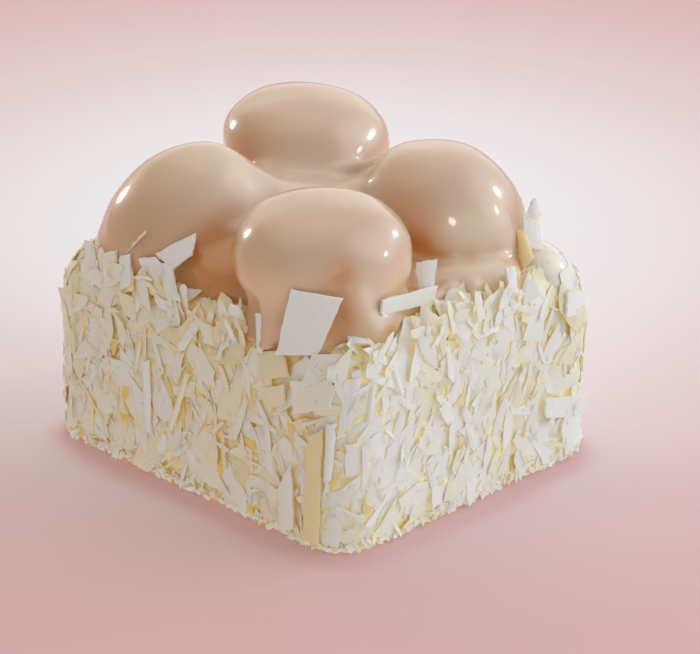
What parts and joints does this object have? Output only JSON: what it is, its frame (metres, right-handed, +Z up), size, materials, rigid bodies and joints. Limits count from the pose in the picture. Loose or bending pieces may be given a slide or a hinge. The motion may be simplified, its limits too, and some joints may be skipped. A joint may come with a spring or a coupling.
{
  "type": "profiterole cake",
  "caption": "Small oblong cake coated with white chocolate shavings, topped with cream puffs under a glossy poured white chocolate glaze, to stand on a plate or a counter.",
  "frame": {"origin": "centre of the flat underside that the cake stands on", "axes": "+X along the cake's longer side, +Y along its shorter side, +Z up"},
  "size_m": [0.0862, 0.0744, 0.064],
  "materials": {
    "shavings": "ivory white chocolate shavings, matt to silky, slightly translucent",
    "glaze": "glossy poured white chocolate glaze, pale peach beige"
  },
  "bodies": {
    "root": {"cake_block": "shavings", "glaze_pool": "glaze", "puff_front": "glaze", "puff_left": "glaze", "puff_right": "glaze", "puff_back": "glaze"}
  },
  "joints": []
}
